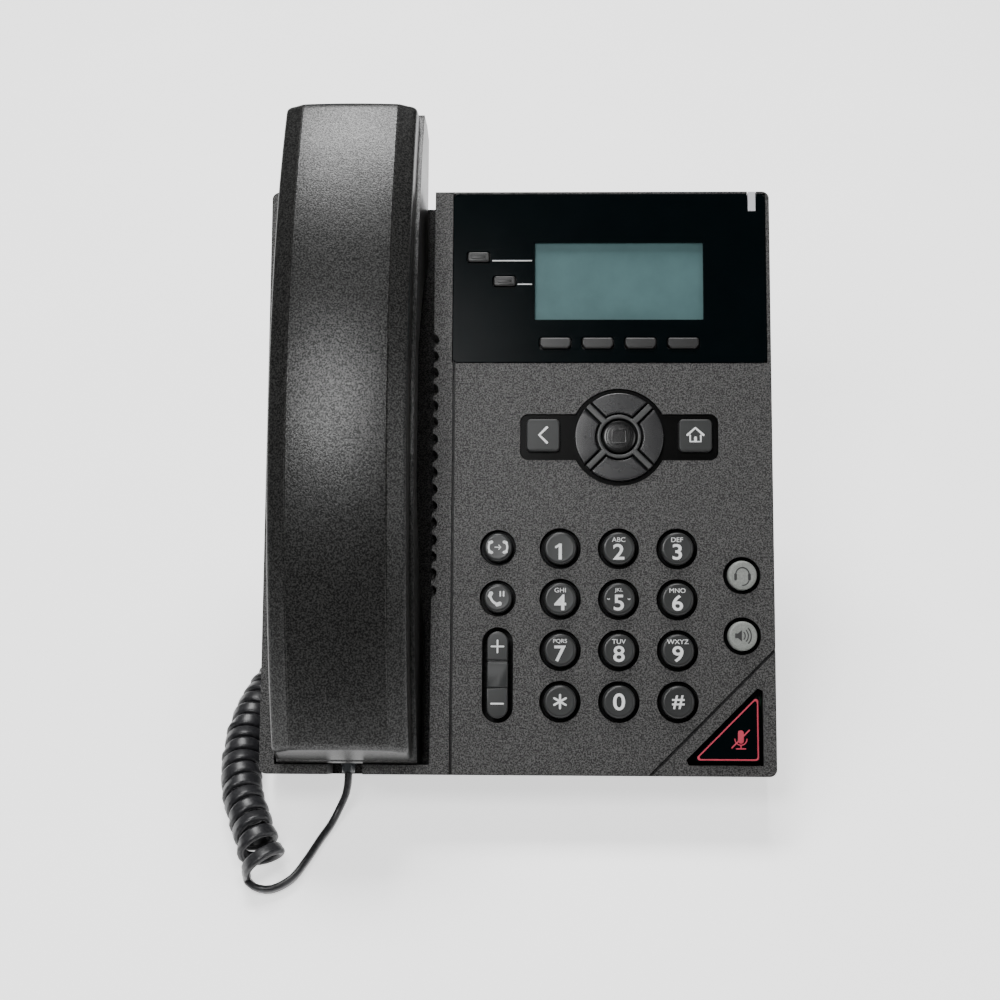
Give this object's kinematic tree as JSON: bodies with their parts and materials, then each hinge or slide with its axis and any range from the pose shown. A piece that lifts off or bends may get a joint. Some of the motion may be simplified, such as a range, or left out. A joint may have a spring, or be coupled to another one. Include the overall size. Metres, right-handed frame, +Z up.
{
  "type": "desk IP phone",
  "caption": "Desk network telephone on a tilted stand, with an arched handset in a side cradle, a small display, a navigation disc, dial keys and a curly handset cord.",
  "frame": {"origin": "on the desk, at the middle of the part's footprint (its cord left out)", "axes": "+Z up from the desk, the part stands on +Z side of its feet; +X to the right across the face; +Y away from the user"},
  "size_m": [0.1891, 0.2194, 0.1811],
  "materials": {
    "shell": "spark-eroded",
    "back_shell": "spark-eroded",
    "gloss_panel": "gloss",
    "display": "matte",
    "board": "solder mask",
    "light_guide": "translucent",
    "speaker": "matte",
    "metal": "brushed",
    "connector": "satin",
    "rubber_dark": "matte",
    "plug_clear": "clear",
    "cord": "satin",
    "handset": "satin",
    "key_dark": "satin gloss",
    "key_pale": "satin",
    "key_satin": "satin"
  },
  "bodies": {
    "base": {"front_housing": "shell", "cradle": "shell", "rear_housing": "back_shell", "display_glass": "gloss_panel", "lcd_module": "display", "main_board": "board", "keypad_mat": "rubber_dark", "nav_frame": "gloss_panel", "message_light": "light_guide", "loudspeaker": "speaker", "microphone": "metal", "network_jacks": "metal", "cord_jacks": "connector", "power_jack": "connector", "housing_screws": "metal", "desk_stand": "back_shell", "rubber_feet": "rubber_dark", "plug_base": "plug_clear", "cord_coil": "cord", "cord_tail_handset": "cord", "cord_tail_base": "cord"},
    "handset": {"handset_cover": "handset", "handset_face": "handset", "receiver_capsule": "speaker", "handset_microphone": "metal", "handset_socket": "connector", "handset_screws": "metal", "plug_handset": "plug_clear"},
    "hook_plunger": {"hook_plunger": "back_shell"},
    "volume_rocker": {"volume_rocker": "key_dark"},
    "key_1": {"key_1": "key_dark"},
    "key_2": {"key_2": "key_dark"},
    "key_3": {"key_3": "key_dark"},
    "key_4": {"key_4": "key_dark"},
    "key_5": {"key_5": "key_dark"},
    "key_6": {"key_6": "key_dark"},
    "key_7": {"key_7": "key_dark"},
    "key_8": {"key_8": "key_dark"},
    "key_9": {"key_9": "key_dark"},
    "key_star": {"key_star": "key_dark"},
    "key_0": {"key_0": "key_dark"},
    "key_hash": {"key_hash": "key_dark"},
    "key_transfer": {"key_transfer": "key_dark"},
    "key_hold": {"key_hold": "key_dark"},
    "key_headset": {"key_headset": "key_pale"},
    "key_speaker": {"key_speaker": "key_pale"},
    "key_mute": {"key_mute": "gloss_panel"},
    "key_back": {"key_back": "key_satin"},
    "key_home": {"key_home": "key_satin"},
    "nav_ok": {"nav_ok": "gloss_panel"},
    "nav_right": {"nav_right": "key_satin"},
    "nav_up": {"nav_up": "key_satin"},
    "nav_left": {"nav_left": "key_satin"},
    "nav_down": {"nav_down": "key_satin"},
    "line_key_1": {"line_key_1": "key_satin"},
    "line_key_2": {"line_key_2": "key_satin"},
    "soft_key_1": {"soft_key_1": "key_satin"},
    "soft_key_2": {"soft_key_2": "key_satin"},
    "soft_key_3": {"soft_key_3": "key_satin"},
    "soft_key_4": {"soft_key_4": "key_satin"}
  },
  "joints": [
    {"name": "handset_lift", "type": "slide", "parent": "base", "child": "handset", "axis": [0, -0.6428, 0.766], "range_m": [0, 0.07]},
    {"name": "hook_plunger_travel", "type": "slide", "parent": "base", "child": "hook_plunger", "axis": [0, -0.6428, 0.766], "range_m": [0, 0.004]},
    {"name": "key_1_press", "type": "slide", "parent": "base", "child": "key_1", "axis": [0, 0.6428, -0.766], "range_m": [0, 0.0009], "stiffness_N_per_m": 400},
    {"name": "key_2_press", "type": "slide", "parent": "base", "child": "key_2", "axis": [0, 0.6428, -0.766], "range_m": [0, 0.0009], "stiffness_N_per_m": 400},
    {"name": "key_3_press", "type": "slide", "parent": "base", "child": "key_3", "axis": [0, 0.6428, -0.766], "range_m": [0, 0.0009], "stiffness_N_per_m": 400},
    {"name": "key_4_press", "type": "slide", "parent": "base", "child": "key_4", "axis": [0, 0.6428, -0.766], "range_m": [0, 0.0009], "stiffness_N_per_m": 400},
    {"name": "key_5_press", "type": "slide", "parent": "base", "child": "key_5", "axis": [0, 0.6428, -0.766], "range_m": [0, 0.0009], "stiffness_N_per_m": 400},
    {"name": "key_6_press", "type": "slide", "parent": "base", "child": "key_6", "axis": [0, 0.6428, -0.766], "range_m": [0, 0.0009], "stiffness_N_per_m": 400},
    {"name": "key_7_press", "type": "slide", "parent": "base", "child": "key_7", "axis": [0, 0.6428, -0.766], "range_m": [0, 0.0009], "stiffness_N_per_m": 400},
    {"name": "key_8_press", "type": "slide", "parent": "base", "child": "key_8", "axis": [0, 0.6428, -0.766], "range_m": [0, 0.0009], "stiffness_N_per_m": 400},
    {"name": "key_9_press", "type": "slide", "parent": "base", "child": "key_9", "axis": [0, 0.6428, -0.766], "range_m": [0, 0.0009], "stiffness_N_per_m": 400},
    {"name": "key_star_press", "type": "slide", "parent": "base", "child": "key_star", "axis": [0, 0.6428, -0.766], "range_m": [0, 0.0009], "stiffness_N_per_m": 400},
    {"name": "key_0_press", "type": "slide", "parent": "base", "child": "key_0", "axis": [0, 0.6428, -0.766], "range_m": [0, 0.0009], "stiffness_N_per_m": 400},
    {"name": "key_hash_press", "type": "slide", "parent": "base", "child": "key_hash", "axis": [0, 0.6428, -0.766], "range_m": [0, 0.0009], "stiffness_N_per_m": 400},
    {"name": "key_transfer_press", "type": "slide", "parent": "base", "child": "key_transfer", "axis": [0, 0.6428, -0.766], "range_m": [0, 0.0009], "stiffness_N_per_m": 400},
    {"name": "key_hold_press", "type": "slide", "parent": "base", "child": "key_hold", "axis": [0, 0.6428, -0.766], "range_m": [0, 0.0009], "stiffness_N_per_m": 400},
    {"name": "key_headset_press", "type": "slide", "parent": "base", "child": "key_headset", "axis": [0, 0.6428, -0.766], "range_m": [0, 0.0009], "stiffness_N_per_m": 400},
    {"name": "key_speaker_press", "type": "slide", "parent": "base", "child": "key_speaker", "axis": [0, 0.6428, -0.766], "range_m": [0, 0.0009], "stiffness_N_per_m": 400},
    {"name": "key_mute_press", "type": "slide", "parent": "base", "child": "key_mute", "axis": [0, 0.6428, -0.766], "range_m": [0, 0.0009], "stiffness_N_per_m": 400},
    {"name": "key_back_press", "type": "slide", "parent": "base", "child": "key_back", "axis": [0, 0.6428, -0.766], "range_m": [0, 0.0009], "stiffness_N_per_m": 400},
    {"name": "key_home_press", "type": "slide", "parent": "base", "child": "key_home", "axis": [0, 0.6428, -0.766], "range_m": [0, 0.0009], "stiffness_N_per_m": 400},
    {"name": "nav_ok_press", "type": "slide", "parent": "base", "child": "nav_ok", "axis": [0, 0.6428, -0.766], "range_m": [0, 0.0009], "stiffness_N_per_m": 400},
    {"name": "nav_right_press", "type": "slide", "parent": "base", "child": "nav_right", "axis": [0, 0.6428, -0.766], "range_m": [0, 0.0009], "stiffness_N_per_m": 400},
    {"name": "nav_up_press", "type": "slide", "parent": "base", "child": "nav_up", "axis": [0, 0.6428, -0.766], "range_m": [0, 0.0009], "stiffness_N_per_m": 400},
    {"name": "nav_left_press", "type": "slide", "parent": "base", "child": "nav_left", "axis": [0, 0.6428, -0.766], "range_m": [0, 0.0009], "stiffness_N_per_m": 400},
    {"name": "nav_down_press", "type": "slide", "parent": "base", "child": "nav_down", "axis": [0, 0.6428, -0.766], "range_m": [0, 0.0009], "stiffness_N_per_m": 400},
    {"name": "line_key_1_press", "type": "slide", "parent": "base", "child": "line_key_1", "axis": [0, 0.6428, -0.766], "range_m": [0, 0.0009], "stiffness_N_per_m": 400},
    {"name": "line_key_2_press", "type": "slide", "parent": "base", "child": "line_key_2", "axis": [0, 0.6428, -0.766], "range_m": [0, 0.0009], "stiffness_N_per_m": 400},
    {"name": "soft_key_1_press", "type": "slide", "parent": "base", "child": "soft_key_1", "axis": [0, 0.6428, -0.766], "range_m": [0, 0.0009], "stiffness_N_per_m": 400},
    {"name": "soft_key_2_press", "type": "slide", "parent": "base", "child": "soft_key_2", "axis": [0, 0.6428, -0.766], "range_m": [0, 0.0009], "stiffness_N_per_m": 400},
    {"name": "soft_key_3_press", "type": "slide", "parent": "base", "child": "soft_key_3", "axis": [0, 0.6428, -0.766], "range_m": [0, 0.0009], "stiffness_N_per_m": 400},
    {"name": "soft_key_4_press", "type": "slide", "parent": "base", "child": "soft_key_4", "axis": [0, 0.6428, -0.766], "range_m": [0, 0.0009], "stiffness_N_per_m": 400},
    {"name": "volume_rocker_tilt", "type": "hinge", "parent": "base", "child": "volume_rocker", "pos_m": [-0.0067, -0.0624, 0.04104], "axis": [1, 0, 0], "range_deg": [-3.5, 3.5], "stiffness_Nm_per_rad": 0.05}
  ],
  "couplings": [
    {"joint": "hook_plunger_travel", "follows": "handset_lift", "ratio": 0.057143}
  ]
}
